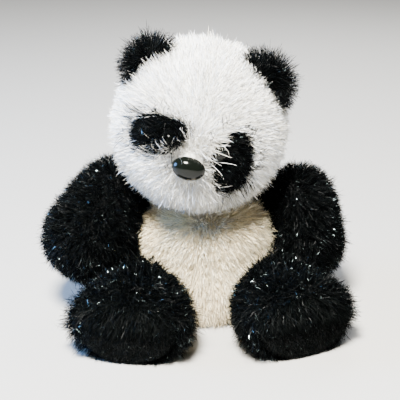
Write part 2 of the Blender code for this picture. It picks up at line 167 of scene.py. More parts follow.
WHITE_PILE = [
    fibre("white_pile_clean", (0.92, 0.92, 0.93), 0.42, sheen=0.25),
    fibre("white_pile_warm", (0.91, 0.88, 0.79), 0.45, sheen=0.25),
    fibre("white_pile_cool", (0.76, 0.83, 0.94), 0.45, sheen=0.25),
    # painted shade: a darker grey strand that stands in for shade among the fibres, used at random and more
    # where the look paints shade
    fibre("white_pile_painted_shade", (0.48, 0.46, 0.41), 0.55),
    fibre("white_pile_bright", (0.99, 0.99, 0.98), 0.20, sheen=0.4, specular=1.0),
]
CREAM_PILE = [
    fibre("cream_pile_clean", (0.93, 0.82, 0.57), 0.42, sheen=0.25),
    fibre("cream_pile_warm", (0.90, 0.76, 0.47), 0.45, sheen=0.25),
    fibre("cream_pile_pale", (0.94, 0.88, 0.71), 0.45, sheen=0.25),
    # painted shade: the same darker strand for the cream pile, standing in for shade among the fibres
    fibre("cream_pile_painted_shade", (0.54, 0.45, 0.30), 0.55),
    fibre("cream_pile_bright", (0.97, 0.91, 0.72), 0.22, sheen=0.1, specular=0.9),
]
BLACK_PILE = [
    fibre("black_pile_deep", (0.0006, 0.0008, 0.0009), 0.65, specular=0.02),
    fibre("black_pile_blue", (0.0008, 0.0014, 0.0020), 0.60, specular=0.04),
    fibre("black_pile_green", (0.0009, 0.0016, 0.0014), 0.60, specular=0.04),
    fibre("black_pile_satin", (0.0020, 0.0028, 0.0030), 0.45, specular=0.14),
    fibre("black_tinsel", (0.20, 0.26, 0.26), 0.30, metallic=1.0),
]
WHITE_BACKING = cloth("white_knit_backing", (0.82, 0.80, 0.76), (0.66, 0.64, 0.60), 900, 0.5)
BLACK_BACKING = cloth("black_knit_backing", (0.005, 0.006, 0.007), (0.002, 0.003, 0.003), 900, 0.5)
FILL = cloth("polyester_fibre_fill", (0.93, 0.93, 0.91), (0.80, 0.80, 0.78), 220, 0.9, 0.95)
PELLET_CLOTH = cloth("pellet_bag_cotton", (0.78, 0.78, 0.74), (0.62, 0.62, 0.58), 1200, 0.6)
WASHER = moulded("washer_plastic", (0.72, 0.72, 0.69), (0.78, 0.78, 0.75), 0.45, 0.5)


# ---- mesh helpers ----
def placed(name, data):
    """A new object in the scene for a mesh, a light or a camera."""
    obj = bpy.data.objects.new(name, data)
    bpy.context.scene.collection.objects.link(obj)
    return obj


def coordinates(mesh):
    places = np.empty(len(mesh.vertices) * 3)
    mesh.vertices.foreach_get("co", places)
    return places.reshape(-1, 3)


def corners(node):
    return coordinates(frame["nodes"][node].data)


# ---- skins ----
def joined(nodes):
    """One mesh with the solids of several CAD nodes."""
    verts, faces = [], []
    for node in nodes:
        mesh = frame["nodes"][node].data
        base = len(verts)
        verts.extend(v.co[:] for v in mesh.vertices)
        faces.extend([base + i for i in p.vertices] for p in mesh.polygons)
    made = bpy.data.meshes.new("joined")
    made.from_pydata(verts, [], faces)
    return made


def evaluated_copy(obj):
    graph = bpy.context.evaluated_depsgraph_get()
    return bpy.data.meshes.new_from_object(obj.evaluated_get(graph))


def smooth_form(nodes, voxel, passes):
    """One smooth closed surface over several CAD nodes, as arrays: points, triangles, point normals."""
    obj = placed("form", joined(nodes))
    remesh = obj.modifiers.new("remesh", "REMESH")
    remesh.mode = "VOXEL"
    remesh.voxel_size = voxel
    relax = obj.modifiers.new("relax", "SMOOTH")
    relax.factor = 0.5
    relax.iterations = passes
    mesh = evaluated_copy(obj)
    bpy.data.objects.remove(obj)
    points = coordinates(mesh)
    mesh.calc_loop_triangles()
    tris = np.empty(len(mesh.loop_triangles) * 3, int)
    mesh.loop_triangles.foreach_get("vertices", tris)
    tris = outer_shell(points, tris.reshape(-1, 3))
    bpy.data.meshes.remove(mesh)
    return points, tris, point_normals(points, tris)


def outer_shell(points, tris):
    """Only the triangles of the largest connected surface."""
    label = np.arange(len(points))
    while True:
        low = label[tris].min(axis=1)
        new = label.copy()
        for k in range(3):
            np.minimum.at(new, tris[:, k], low)
        new = new[new]
        if np.array_equal(new, label):
            break
        label = new
    names, counts = np.unique(label[tris[:, 0]], return_counts=True)
    return tris[label[tris[:, 0]] == names[counts.argmax()]]


def point_normals(points, tris):
    a, b, c = (points[tris[:, k]] for k in range(3))
    face = np.cross(b - a, c - a)
    normals = np.zeros_like(points)
    for k in range(3):
        np.add.at(normals, tris[:, k], face)
    return unit(normals)


def closed_mesh(points, tris):
    mesh = bpy.data.meshes.new("closed")
    mesh.from_pydata(points.tolist(), [], tris.tolist())
    return mesh


CLOTH_VOXEL = 4 * MM
CLOTH_FRAMES = 14
CLOTH_START = 0.7 * MM  # how much smaller the form is before the pass
CLOTH_CAP = 1.4 * MM  # the furthest that a point may move
CLOTH_SETTINGS = dict(
    quality=5, mass=0.001, tension_stiffness=1, compression_stiffness=1, shear_stiffness=1,
    air_damping=0, use_pressure=True, uniform_pressure_force=12,
)


def cloth_moves(points, tris):
    """A cloth pass under pressure on a coarse copy: its points before the pass, and their moves."""
    scene = bpy.context.scene
    coarse = placed("coarse", closed_mesh(points, tris))
    remesh = coarse.modifiers.new("remesh", "REMESH")
    remesh.mode = "VOXEL"
    remesh.voxel_size = CLOTH_VOXEL
    bpy.context.view_layer.update()
    mesh = evaluated_copy(coarse)
    coarse.modifiers.clear()
    coarse.data = mesh
    before = coordinates(mesh)
    fabric = coarse.modifiers.new("cloth", "CLOTH")
    for setting, value in CLOTH_SETTINGS.items():
        setattr(fabric.settings, setting, value)
    fabric.settings.effector_weights.gravity = 0
    fabric.point_cache.frame_end = CLOTH_FRAMES
    for step in range(1, CLOTH_FRAMES + 1):
        scene.frame_set(step)
    after = coordinates(evaluated_copy(coarse))
    scene.frame_set(1)
    bpy.data.objects.remove(coarse)
    move = after - before
    move -= move.mean(axis=0)
    reach = np.linalg.norm(move, axis=1, keepdims=True)
    return before, move * np.minimum(1, CLOTH_CAP / np.maximum(reach, 1e-9))


def puffed(form):
    """The form after a cloth pass, which tightens it over its stuffing."""
    points, tris, normals = form
    small = points - normals * CLOTH_START
    before, move = cloth_moves(small, tris)
    tree = KDTree(len(before))
    for i, place in enumerate(before):
        tree.insert(place, i)
    tree.balance()
    moved = small.copy()
    for i, place in enumerate(points):
        near = tree.find_n(place, 4)
        weights = np.array([1 / (gap + 0.5 * MM) for _, _, gap in near])
        moved[i] += weights @ move[[k for _, k, _ in near]] / weights.sum()
    return moved, tris, point_normals(moved, tris)


def sewn(form, owner, depth=1.3 * MM, width=2.6 * MM):
    """The form pulled in along the seams, where triangles of different panels meet."""
    points, tris, normals = form
    low = np.full(len(points), len(owner))
    high = np.full(len(points), -1)
    for k in range(3):
        np.minimum.at(low, tris[:, k], owner)
        np.maximum.at(high, tris[:, k], owner)
    seam = points[(high > low) & (high >= 0)]
    pulled = points.copy()
    if len(seam):
        gap = np.linalg.norm(points - seam[nearest_index(seam, points)], axis=1)
        pulled -= normals * (depth * np.exp(-((gap / width) ** 2)))[:, None]
    pulled[:, 2] = np.maximum(pulled[:, 2], FLOOR_CLEARANCE / 2)
    return pulled, tris, point_normals(pulled, tris)


def node_tree(node):
    mesh = frame["nodes"][node].data
    return BVHTree.FromPolygons(
        [v.co[:] for v in mesh.vertices], [p.vertices[:] for p in mesh.polygons]
    )


def nearest_panel(places, panels):
    """Index of the panel that each place is nearest to."""
    trees = [node_tree(p) for p in panels]
    best = np.full(len(places), 1e9)
    owner = np.zeros(len(places), int)
    for index, tree in enumerate(trees):
        gaps = np.array([tree.find_nearest(p)[3] for p in places])
        closer = gaps < best
        best[closer] = gaps[closer]
        owner[closer] = index
    return owner


def add_piece(name, points, faces, material):
    mesh = bpy.data.meshes.new(name)
    mesh.from_pydata(points.tolist(), [], faces.tolist())
    mesh.materials.append(material)
    mesh.shade_smooth()
    return placed(name, mesh)


def skin_piece(name, form, chosen, backing, body, node):
    """A panel's backing cloth: its share of the smooth form, as a thin shell."""
    points, tris, normals = form
    used = np.unique(tris[chosen])
    number = np.full(len(points), -1)
    number[used] = np.arange(len(used))
    faces = number[tris[chosen]]
    count = len(used)
    both = np.concatenate([points[used], points[used] - normals[used] * BACKING_THICKNESS])
    both[:, 2] = np.maximum(both[:, 2], FLOOR_CLEARANCE / 2)
    inner = faces[:, ::-1] + count
    edges = np.concatenate([faces[:, [0, 1]], faces[:, [1, 2]], faces[:, [2, 0]]])
    keys = edges[:, 0] * count + edges[:, 1]
    back = edges[:, 1] * count + edges[:, 0]
    rim = edges[~np.isin(keys, back)]
    wall_a = np.stack([rim[:, 1], rim[:, 0], rim[:, 0] + count], axis=1)
    wall_b = np.stack([rim[:, 1], rim[:, 0] + count, rim[:, 1] + count], axis=1)
    obj = add_piece(name, both, np.concatenate([faces, inner, wall_a, wall_b]), backing)
    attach(obj, body)
    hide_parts(node)
    return obj


# ---- pile ----
def sample(form, chosen, count):
    """count roots spread evenly over the chosen triangles: places and normals."""
    points, tris, normals = form
    tris = tris[chosen]
    a, b, c = (points[tris[:, k]] for k in range(3))
    area = np.linalg.norm(np.cross(b - a, c - a), axis=1)
    edges = np.concatenate([[0], np.cumsum(area)])
    marks = (np.arange(count) + rng.random(count)) / count * edges[-1]
    pick = np.clip(np.searchsorted(edges, marks) - 1, 0, len(tris) - 1)
    u, v = rng.random(count), rng.random(count)
    flip = u + v > 1
    u[flip], v[flip] = 1 - u[flip], 1 - v[flip]
    w = 1 - u - v
    weights = (w[:, None], u[:, None], v[:, None])
    place = sum(k * points[tris[pick, i]] for i, k in enumerate(weights))
    normal = unit(sum(k * normals[tris[pick, i]] for i, k in enumerate(weights)))
    return place, normal


def area_of(form, chosen):
    points, tris, _ = form
    a, b, c = (points[tris[chosen][:, k]] for k in range(3))
    return np.linalg.norm(np.cross(b - a, c - a), axis=1).sum() / 2


def nearest_index(points, places):
    """Index of the point nearest to each place."""
    tree = KDTree(len(points))
    for i, point in enumerate(points):
        tree.insert(point, i)
    tree.balance()
    return np.array([tree.find(p)[1] for p in places])


def clumped(roots, offsets, share, pull):
    """Draws the free ends of neighbouring strands towards the leading strand of their tuft."""
    count = len(roots)
    leaders = rng.choice(count, max(1, int(count * share)), replace=False)
    owner = leaders[nearest_index(roots[leaders], roots)]
    segments = offsets.shape[1] - 1
    pulls = pull * rng.uniform(0.5, 1.2, count)
    for step in range(1, segments + 1):
        part = (pulls * (step / segments) ** 1.4)[:, None]
        aim = roots[owner] + offsets[owner, step] - roots
        offsets[:, step] += (aim - offsets[:, step]) * part
    return offsets


def row_steps(segments):
    """Share of a strand's length in each of its segments: the pointed tip is the shortest."""
    tip = 0.17
    return [(1 - tip) / (segments - 1)] * (segments - 1) + [tip]


def strands(place, normal, comb, style, length_share=1.0, lean_share=1.0, wild=1.0):
    """Centre lines of strands: they stand up from the roots, lean along comb, bend and hang.
    wild spreads their directions and curls further, for each strand or for all."""
    count = len(place)
    segments = style.get("segments", 3)
    wander = rng.normal(0, math.radians(style["jitter"]), count) * wild
    comb = tangent(turn_about(comb, normal, wander), normal)
    lean = np.radians(rng.normal(style["lean"], style["lean_spread"], count)) * lean_share
    bend = np.radians(rng.normal(style["bend"], style["bend_spread"], count)) * lean_share
    length = style["length"] * np.clip(rng.normal(1, style["length_spread"], count), 0.3, 1.7)
    length = length * length_share
    curl_axis = unit(rng.normal(size=(count, 3)))
    loose = rng.random(count) < style["loose"]
    curl = np.radians(rng.normal(0, style["curl"], count)) * np.where(loose, 2.4, 1.0) * wild
    length = length * np.where(loose, 1.12, 1.0)
    offsets = np.zeros((count, segments + 1, 3))
    shares = row_steps(segments)
    for step, share in enumerate(shares):
        part = sum(shares[:step]) + share / 2
        angle = (lean + bend * part)[:, None]
        heading = np.cos(angle) * normal + np.sin(angle) * comb
        heading = turn_about(heading, curl_axis, curl * part)
        heading[:, 2] -= style["droop"] * part
        offsets[:, step + 1] = offsets[:, step] + unit(heading) * (length * share)[:, None]
    if style["clump"] > 0:
        offsets = clumped(place, offsets, style["clump_share"], style["clump"] * ~loose)
    line = place[:, None, :] + offsets - normal[:, None, :] * 0.3 * MM
    line[..., 2] = np.maximum(line[..., 2], FLOOR_CLEARANCE)
    return line


def ribbons(name, line, normal, style, palette, shares, body, width_share=1.0, shaded=0.0):
    """One piece of pile: a tapered ribbon along each centre line. Its last argument is the share of strands
    that are turned to the painted shade, a darker colour that stands in for shade, last but one in the palette."""
    count, rows, _ = line.shape
    segments = rows - 1
    along = unit(line[:, 1:] - line[:, :-1])
    along = np.concatenate([along, along[:, -1:]], axis=1)
    facing = tangent(normal + rng.normal(0, style["roll"], (count, 3)), along[:, 0])
    width = style["width"] * rng.uniform(0.7, 1.3, count) * width_share
    taper = 1 - 0.45 * (np.arange(segments) / segments) ** 1.5
    verts = np.empty((count, 2 * segments + 1, 3))
    lit = np.empty_like(verts)
    for row in range(segments):
        face = tangent(facing, along[:, row])
        side = np.cross(along[:, row], face) * (width * taper[row] / 2)[:, None]
        verts[:, 2 * row] = line[:, row] - side
        verts[:, 2 * row + 1] = line[:, row] + side
        soft = unit(face * (1 - style["softness"]) + normal * style["softness"])
        lit[:, 2 * row] = soft
        lit[:, 2 * row + 1] = soft
    verts[:, -1] = line[:, -1]
    lit[:, -1] = lit[:, -2]
    verts[..., 2] = np.maximum(verts[..., 2], FLOOR_CLEARANCE / 2)
    faces = []
    for row in range(segments - 1):
        a, b, c, d = 2 * row, 2 * row + 1, 2 * row + 3, 2 * row + 2
        faces += [(a, b, c), (a, c, d)]
    last = 2 * (segments - 1)
    faces.append((last, last + 1, last + 2))
    pattern = np.array(faces)
    base = (np.arange(count) * (2 * segments + 1))[:, None, None]
    tris = (pattern[None] + base).reshape(-1, 3)
    kind = rng.choice(len(palette), count, p=np.array(shares) / sum(shares))
    # painted shade: these strands take the darker colour that stands in for shade
    kind[rng.random(count) < shaded] = len(palette) - 2
    slots = np.repeat(kind[:, None], len(pattern), axis=1).astype(np.int32)
    if style["glint"]:  # only the tips of the last shade stay bright, each turned its own way
        spark = kind == len(palette) - 1
        slots[spark, :-1] = len(palette) - 2
        lit[spark, -3:] = unit(
            lit[spark, -3:] + rng.normal(0, style["glint"], (spark.sum(), 1, 3))
        )
    slots = slots.ravel()
    mesh = fast_mesh(name, verts.reshape(-1, 3), tris, palette, slots)
    mesh.normals_split_custom_set_from_vertices(lit.reshape(-1, 3).astype(np.float32).tolist())
    obj = placed(name, mesh)
    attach(obj, body)
    return obj


def fast_mesh(name, points, tris, materials, slots):
    mesh = bpy.data.meshes.new(name)
    mesh.vertices.add(len(points))
    mesh.vertices.foreach_set("co", points.astype(np.float32).ravel())
    mesh.loops.add(tris.size)
    mesh.loops.foreach_set("vertex_index", tris.astype(np.int32).ravel())
    mesh.polygons.add(len(tris))
    mesh.polygons.foreach_set("loop_start", np.arange(0, tris.size, 3, dtype=np.int32))
    for mat in materials:
        mesh.materials.append(mat)
    mesh.polygons.foreach_set("material_index", slots)
    mesh.update(calc_edges=True)
    mesh.shade_smooth()
    return mesh


# Styles of pile. Lengths are in metres and angles in degrees. clump_share is the share of strands
# that lead a tuft, and clump is how far the others are drawn to it. softness turns the shading of
# a ribbon from its own facing towards the skin's.
LONG = dict(
    length=9.2 * MM, length_spread=0.20, width=0.27 * MM, lean=25, lean_spread=11, bend=15,
    bend_spread=13, jitter=20, curl=20, droop=0.10, roll=0.60, softness=0.32, clump=0.45,
    clump_share=0.045, loose=0.12, glint=0.5,
)
UPRIGHT = dict(
    LONG, length=8.6 * MM, lean=18, lean_spread=13, bend=14, jitter=50, curl=26, droop=0.16,
    clump=0.58, clump_share=0.04, softness=0.40, glint=0.9, width=0.28 * MM,
)
# how often each shade of a palette comes: three plain ones, the fourth (a darker painted shade on white and
# cream, satin on black), and the bright one
PALE_SHARES = (4, 3, 1.6, 1.5, 1.4)
ARM_SHARES = (4, 3, 2.4, 1.0, 0.9)
LEG_SHARES = (4, 3, 2.4, 1.2, 1.6)
EAR_SHARES = (4, 3, 2, 0.8, 0.5)
PATCH_SHARES = (4, 3, 2, 0.8, 0.4)
SOLE_SHARES = (3, 2, 6, 0.8, 0.15)


# ---- flow of the pile ----
EYES = {side: middle("eye_" + side) for side in ("left", "right")}
PATCHES = np.stack([middle("eye_patch_" + side) for side in ("left", "right")])
HEAD_SIDE = unit(middle("eye_left") - middle("eye_right"))
HEAD_FRONT = tangent(NOSE - HEAD, HEAD_SIDE)
HEAD_UP = np.cross(HEAD_FRONT, HEAD_SIDE)
DOWN = np.array((0.0, 0.0, -1.0))


def head_flow(place, normal):
    """Out from the nose over the face, parted at the forehead seam, and down the back of the head."""
    from_nose = unit(place - NOSE)
    side = (place - HEAD) @ HEAD_SIDE
    rise = (place - NOSE) @ HEAD_UP
    part = np.exp(-np.abs(side) / (9 * MM)) * smooth_step(rise, 14 * MM, 30 * MM) * 0.75
    flow = from_nose + (np.sign(side) * part)[:, None] * HEAD_SIDE
    back = smooth_step(place[:, 1], HEAD[1] + 5 * MM, HEAD[1] + 35 * MM)[:, None]
    return tangent(flow * (1 - back) + DOWN * back, normal)


def torso_flow(place, normal):
    """Down and away from the seam in the middle of the belly."""
    x = place[:, 0:1]
    side = np.sign(x) * np.minimum(1, np.abs(x) / (8 * MM)) * 0.55
    low = 1 - smooth_step(place[:, 2], 0.015, 0.040)[:, None]
    side = side * (1 - low) - x / 0.040 * 0.5 * low
    flow = np.concatenate([side, np.zeros_like(x), -np.ones_like(x)], axis=1)
    return tangent(flow, normal)


def limb_flow(start, end, hang):
    axis = unit(np.array(end) - np.array(start))

    def flow(place, normal):
        return tangent(axis + hang * DOWN + 0 * place, normal)

    return flow


def outward_flow(centre):
    def flow(place, normal):
        return tangent(unit(place - centre) + np.array((0, 0, 1e-4)), normal)

    return flow


# ---- stuffed parts ----
def limb_parts(side):
    """The arm, the leg and the ear of one side."""
    arm = middle("arm_stuffing_" + side)
    leg = middle("leg_stuffing_" + side)
    leg_tip = middle("sole_pad_" + side)
    return {
        "arm_" + side: dict(
            form=["arm_stuffing_" + side],
            panels={"arm_top_panel_" + side: "arm", "arm_under_panel_" + side: "arm"},
            flow=limb_flow(joint_place("arm_raise_" + side), arm, 0.25),
        ),
        "leg_" + side: dict(
            form=["leg_stuffing_" + side],
            panels={
                "leg_outer_panel_" + side: "leg", "leg_inner_panel_" + side: "leg",
                "sole_pad_" + side: "sole",
            },
            flow=limb_flow(leg, leg_tip, 0.45),
        ),
        "ear_" + side: dict(
            form=[],
            panels={"ear_front_" + side: "ear", "ear_back_" + side: "ear"},
            flow=outward_flow(joint_place("ear_fold_" + side)),
        ),
    }


PARTS = {
    "head": dict(
        form=["head_stuffing"],
        panels={
            "face_panel_left": "face", "face_panel_right": "face",
            "back_head_panel_left": "white", "back_head_panel_right": "white",
            "eye_patch_left": "patch", "eye_patch_right": "patch",
        },
        flow=head_flow,
    ),
    "torso": dict(
        form=["torso_stuffing", "pellet_bag"],
        panels={
            "belly_panel_left": "belly", "belly_panel_right": "belly",
            "back_panel_left": "white", "back_panel_right": "white",
            "shoulder_yoke": "arm", "seat_panel": "seat",
        },
        flow=torso_flow,
    ),
    "tail": dict(body="torso", form=[], panels={"tail": "tail"}, flow=outward_flow(middle("tail"))),
    **limb_parts("left"),
    **limb_parts("right"),
}


# ---- looks of the panels ----
def muzzle(place):
    """1 on the muzzle, falling to 0 on the cheeks and the forehead."""
    return 1 - smooth_step(np.linalg.norm(place - NOSE, axis=1), 15 * MM, 27 * MM)


def face_length(place):
    """Longest on the muzzle and under the chin, short round the rim of the nose."""
    gap = np.linalg.norm(place - NOSE, axis=1)
    low = 1 - smooth_step((place - NOSE) @ HEAD_UP, -25 * MM, 0)
    rim = smooth_step(gap, 9 * MM, 15 * MM)
    return (0.72 + 0.28 * rim) * (0.88 + 0.62 * muzzle(place)) * (1 + 0.18 * low)


def face_lean(place):
    return 1 + 1.1 * muzzle(place)


def face_width(place):
    return 1 + 0.10 * muzzle(place)


def face_wild(place):
    return 1 + 1.3 * muzzle(place)


def face_shaded(place):
    """Painted shade: round the nose and under the chin, where less light falls, more strands take the darker
    shade colour.
    """
    low = 1 - smooth_step((place - NOSE) @ HEAD_UP, -30 * MM, -8 * MM)
    return np.maximum(0.50 * muzzle(place), 0.85 * low)


# Painted shade: the share of strands that take the darker shade colour, most at the bottom of the belly, where
# the legs shade it.
def belly_shaded(place):
    return 0.70 * (1 - smooth_step(place[:, 2], 0.004, 0.045))


def face_edges(centres, patches):
    """Where white pile has to stop: at the patches, the open eye and the feet of the ears."""
    edges = patches | (np.linalg.norm(centres - EYES["left"], axis=1) < 7.5 * MM)
    for ear in ("left", "right"):
        fold = joint("ear_fold_" + ear)
        off = centres - np.array(fold["pos_m"])
        along = np.abs(off @ unit(np.array(fold["axis"])))
        across = np.sqrt(np.maximum(np.sum(off * off, axis=1) - along**2, 0))
        edges |= (along < 15 * MM) & (across < 6 * MM)
    return edges


def belly_length(place):
    return 1.35 - 0.45 * smooth_step(place[:, 2], 0.008, 0.050)


def patch_length(place):
    """Cropped round the eye on the toy's left, and grown over the one on its right."""
    open_eye = np.linalg.norm(place - EYES["left"], axis=1)
    hidden_eye = np.linalg.norm(place - EYES["right"], axis=1)
    crop = 0.45 + 0.55 * smooth_step(open_eye, 7 * MM, 13 * MM)
    return crop * (1.45 - 0.45 * smooth_step(hidden_eye, 9 * MM, 16 * MM))


def patch_flow(place, normal):
    """As on the rest of the head, but brushed away from the open eye and over the hidden one."""
    away = place - EYES["left"]
    over = EYES["right"] - place
    near_open = 1 - smooth_step(np.linalg.norm(away, axis=1), 7 * MM, 12 * MM)[:, None]
    near_hidden = 1 - smooth_step(np.linalg.norm(over, axis=1), 9 * MM, 13 * MM)[:, None]
    flow = head_flow(place, normal) + 2 * near_open * unit(away) + 1.6 * near_hidden * unit(over)
    return tangent(flow, normal)


def leg_rim(place):
    """1 at the top of a foot's front, where the pile hangs over the sole."""
    return smooth_step(-place[:, 1], 0.055, 0.074) * smooth_step(place[:, 2], 0.010, 0.030)


def leg_length(place):
    return 1 + 0.45 * leg_rim(place)


def leg_lean(place):
    return 1 + 1.1 * leg_rim(place)


def sole_length(place):
    """The pile of a sole is long at its top and worn short at its bottom."""
    return 0.42 + 1.6 * smooth_step(place[:, 2], 0.016, 0.036)


def sole_lean(place):
    return 1 + 1.2 * smooth_step(place[:, 2], 0.016, 0.034)


def hanging_flow(place, normal):
    return tangent(DOWN + 0 * place, normal)


def patch_rim(place, edge):
    """Loose black fibres grow at the rim of a patch, most of them at its outer end."""
    outer = smooth_step(np.linalg.norm(place - NOSE, axis=1), 18 * MM, 40 * MM)
    return (1 - smooth_step(edge, 2 * MM, 5 * MM)) * (0.15 + 0.85 * outer)


def patch_spread(place, normal):
    """Outwards from the middle of the nearer patch."""
    gaps = np.linalg.norm(place[None] - PATCHES[:, None], axis=2)
    return tangent(place - PATCHES[gaps.argmin(axis=0)], normal)


def muzzle_strays(place, edge):
    """Loose white fibres grow round the nose, thinning out over the cheeks."""
    gap = np.linalg.norm(place - NOSE, axis=1)
    near = smooth_step(gap, 8 * MM, 10 * MM) * (1 - smooth_step(gap, 18 * MM, 27 * MM))
    return (0.02 + 0.9 * near) * np.where(edge < 5 * MM, 0.25, 1.0)


def stray_flow(place, normal):
    """Out from the nose, but a few fibres round its rim lie back across it."""
    flow = head_flow(place, normal)
    rim = np.linalg.norm(place - NOSE, axis=1) < 12 * MM
    back = rim & (rng.random(len(place)) < 0.10)
    return np.where(back[:, None], -flow, flow)


BELLY = dict(LONG, lean=33, clump=0.35)
SOLE = dict(
    UPRIGHT, length=5.2 * MM, width=0.28 * MM, lean=24, jitter=25, clump=0.3, glint=0.6
)
STRAY = dict(LONG, length_spread=0.22, segments=6, loose=0, glint=0)
BLACK_STRAYS = dict(
    style=dict(STRAY, length=15 * MM, width=0.52 * MM, lean=22, lean_spread=8, bend=52,
               bend_spread=12, jitter=22, curl=16, clump=0.75, clump_share=0.12),
    count=1200, shares=(3, 2, 2, 1.0, 0.0), where=patch_rim, flow=patch_spread,
)
WHITE_STRAYS = dict(
    style=dict(STRAY, length=13 * MM, width=0.26 * MM, lean=52, lean_spread=16, bend=20,
               bend_spread=25, jitter=55, curl=45, clump=0),
    count=3600, shares=(1, 1.5, 0.3, 0, 8), where=muzzle_strays, flow=stray_flow,
)


def pale(density, shades=WHITE_PILE, style=LONG, **more):
    """The look of a white or cream panel."""
    return dict(more, density=density, shades=shades, style=style, shares=PALE_SHARES,
                backing=WHITE_BACKING)


def black(density, shares, style, **more):
    """The look of a black panel."""
    return dict(more, density=density, shades=BLACK_PILE, style=style, shares=shares,
                backing=BLACK_BACKING)


# density is in strands for each square millimetre
KINDS = {
    "face": pale(4.2, length=face_length, lean=face_lean, width=face_width, shaded=face_shaded,
                 wild=face_wild, trim=True, clear={"nose": 8 * MM}, strays=WHITE_STRAYS),
    "white": pale(2.6),
    "belly": pale(4.2, CREAM_PILE, BELLY, length=belly_length, shaded=belly_shaded),
    "seat": pale(1.2, CREAM_PILE, dict(LONG, length=4 * MM)),
    "tail": pale(3.0, style=dict(LONG, length=7 * MM, lean=35)),
    "patch": black(4.5, PATCH_SHARES, dict(UPRIGHT, length=8 * MM), length=patch_length,
                   flow=patch_flow, clear={"eye_left": 5.2 * MM}, strays=BLACK_STRAYS),
    "arm": black(3.6, ARM_SHARES, dict(UPRIGHT, length=9.6 * MM)),
    "leg": black(3.6, LEG_SHARES, dict(UPRIGHT, length=9.4 * MM, lean=26), length=leg_length,
                 lean=leg_lean),
    "sole": black(5.0, SOLE_SHARES, SOLE, length=sole_length, lean=sole_lean, flow=hanging_flow),
    "ear": black(4.4, EAR_SHARES, dict(UPRIGHT, length=10.2 * MM, lean=24, bend=8)),
}


# ---- build ----
def trimmed(place, comb, reach, centres, others):
    """How much of its reach each strand keeps, so that it stops where the other colour begins.
    Many strands just under the eye on the toy's right, and a few elsewhere, still cross the edge."""
    keep = np.ones(len(place))
    for part in (1.0, 0.8, 0.6, 0.4, 0.2):
        nearest = nearest_index(centres, place + comb * reach * part)
        keep[others[nearest]] = part
    below = EYES["right"] - place
    over = (below @ HEAD_UP > 3 * MM) & (np.linalg.norm(below, axis=1) < 17 * MM)
    crossing = rng.random(len(place)) < np.where(over, 0.55, 0.015 + 0.01 * muzzle(place))
    keep[crossing] = 1
    return keep


def share_of(look, name, place):
    """What the look's function of that name says at each place, or 1 where it has none."""
    return look[name](place) if name in look else np.ones(len(place))


def grow_pile(node, form, chosen, look, flow, centres, patches, body):
    """The pile of one panel."""
    style = look["style"]
    place, normal = sample(form, chosen, int(area_of(form, chosen) * 1e6 * look["density"]))
    clear = np.ones(len(place), bool)
    for fitting, reach in look.get("clear", {}).items():
        clear &= np.linalg.norm(place - middle(fitting), axis=1) > reach
    place, normal = place[clear], normal[clear]
    comb = flow(place, normal)
    length_share = share_of(look, "length", place)
    lean_share = share_of(look, "lean", place)
    if look.get("trim"):
        reach = (style["length"] * 0.35 * length_share * (1 + lean_share))[:, None]
        keep = trimmed(place, comb, reach, centres, face_edges(centres, patches))
        length_share = length_share * np.maximum(0.35, keep)
        lean_share = lean_share * (0.3 + 0.7 * keep)
    line = strands(
        place, normal, comb, style, length_share, lean_share, share_of(look, "wild", place)
    )
    # the share of strands that take the painted shade colour, where the look paints shade
    shaded = look["shaded"](place) if "shaded" in look else 0.0
    fur = ribbons(
        node + "_pile", line, normal, style, look["shades"], look["shares"], body,
        share_of(look, "width", place), shaded,
    )


def add_strays(node, form, chosen, look, others, body):
    """Single longer fibres that have worked loose from the pile."""
    stray = look["strays"]
    place, normal = sample(form, chosen, stray["count"])
    edge = np.linalg.norm(place - others[nearest_index(others, place)], axis=1)
    kept = rng.random(len(place)) < stray["where"](place, edge)
    place, normal = place[kept], normal[kept]
    line = strands(place, normal, stray["flow"](place, normal), stray["style"])
    fibres = ribbons(
        node + "_strays", line, normal, stray["style"], look["shades"], stray["shares"], body
    )


def build_part(title, part):
    """The skins of one stuffed part and the pile on each of its panels."""
    body = part.get("body", title)
    names = list(part["panels"])
    form = smooth_form(part["form"] + names, FORM_VOXEL, FORM_PASSES)
    owner = nearest_panel(form[0][form[1]].mean(axis=1), names)
    form = sewn(puffed(form), owner)
    points, tris, _ = form
    centres = points[tris].mean(axis=1)
    patches = np.isin(owner, [i for i, name in enumerate(names) if "patch" in name])
    for index, (node, kind) in enumerate(part["panels"].items()):
        chosen = owner == index
        look = KINDS[kind]
        skin = skin_piece(node + "_skin", form, chosen, look["backing"], body, node)
        flow = look.get("flow", part["flow"])
        grow_pile(node, form, chosen, look, flow, centres, patches, body)
        if "strays" in look:
            others = centres[~patches if "patch" in node else patches]
            add_strays(node, form, chosen, look, others, body)


def paint(node, mat):
    mesh = frame["nodes"][node].data
    mesh.materials.clear()
    mesh.materials.append(mat)


for title, part in PARTS.items():
    build_part(title, part)
for node in frame["nodes"]:
    if "stuffing" in node:
        paint(node, FILL)
    if "washer" in node:
        paint(node, WASHER)
paint("pellet_bag", PELLET_CLOTH)


# ---- nose and eyes ----
GLOSS = moulded("black_gloss_plastic", (0.0015, 0.002, 0.0015), (0.003, 0.004, 0.003), 0.12, 0.20)


DOME_POWER = 0.9  # below 1 the dome is fuller than half an ellipse


